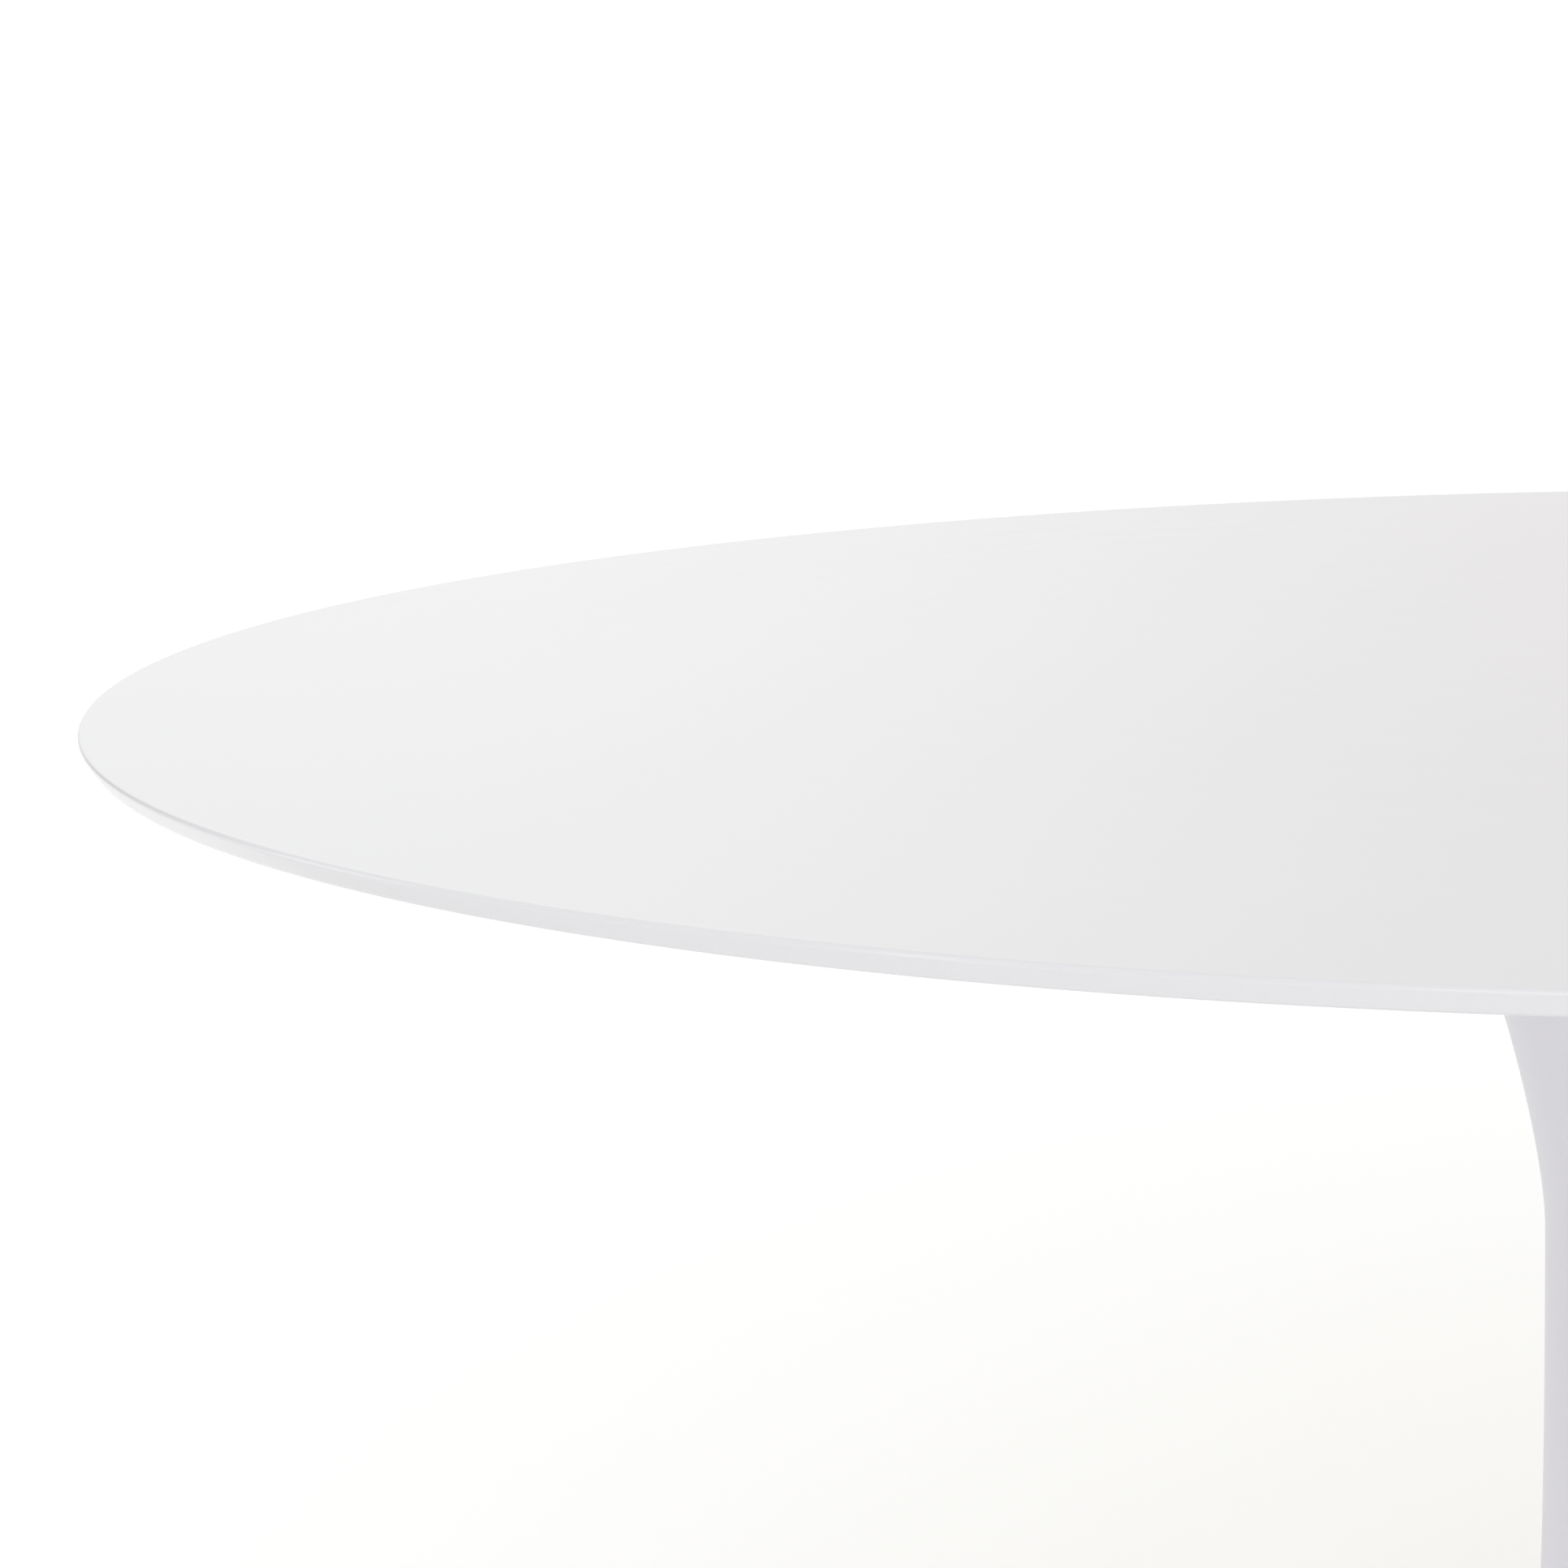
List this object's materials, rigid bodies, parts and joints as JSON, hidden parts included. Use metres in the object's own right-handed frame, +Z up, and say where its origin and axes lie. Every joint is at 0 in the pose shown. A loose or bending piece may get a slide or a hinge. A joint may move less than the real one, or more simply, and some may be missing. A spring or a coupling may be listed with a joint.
{
  "type": "round pedestal table",
  "caption": "Round dining table with a thin lacquered top on one slender trumpet-shaped pedestal that spreads into a wide round foot.",
  "frame": {"origin": "on the floor, on the axis of the column, at the centre of the foot ring", "axes": "+Z up along the column's axis; X and Y lie in the floor plane, and the table is round about Z"},
  "size_m": [1.1998, 1.1998, 0.74],
  "materials": {
    "top_lacquer": "gloss",
    "pedestal_coat": "satin",
    "plate_steel": "matte",
    "zinc_steel": "satin",
    "insert_brass": "satin",
    "rubber_black": "matte",
    "rubber_grey": "matte",
    "cover_plastic": "matte"
  },
  "bodies": {
    "root": {"tabletop": "top_lacquer", "thread_inserts": "insert_brass", "mounting_plate": "plate_steel", "plate_hub": "plate_steel", "plate_washers": "zinc_steel", "plate_bolts": "zinc_steel", "collar_gasket": "rubber_black", "column": "pedestal_coat", "dowel_pins": "zinc_steel", "foot": "pedestal_coat", "foot_ring": "rubber_grey", "tie_rod": "zinc_steel", "hub_locknut": "zinc_steel", "clamp_washer": "zinc_steel", "spring_washer": "zinc_steel", "rod_nut": "zinc_steel", "base_cover": "cover_plastic", "cover_screws": "zinc_steel"}
  },
  "joints": []
}
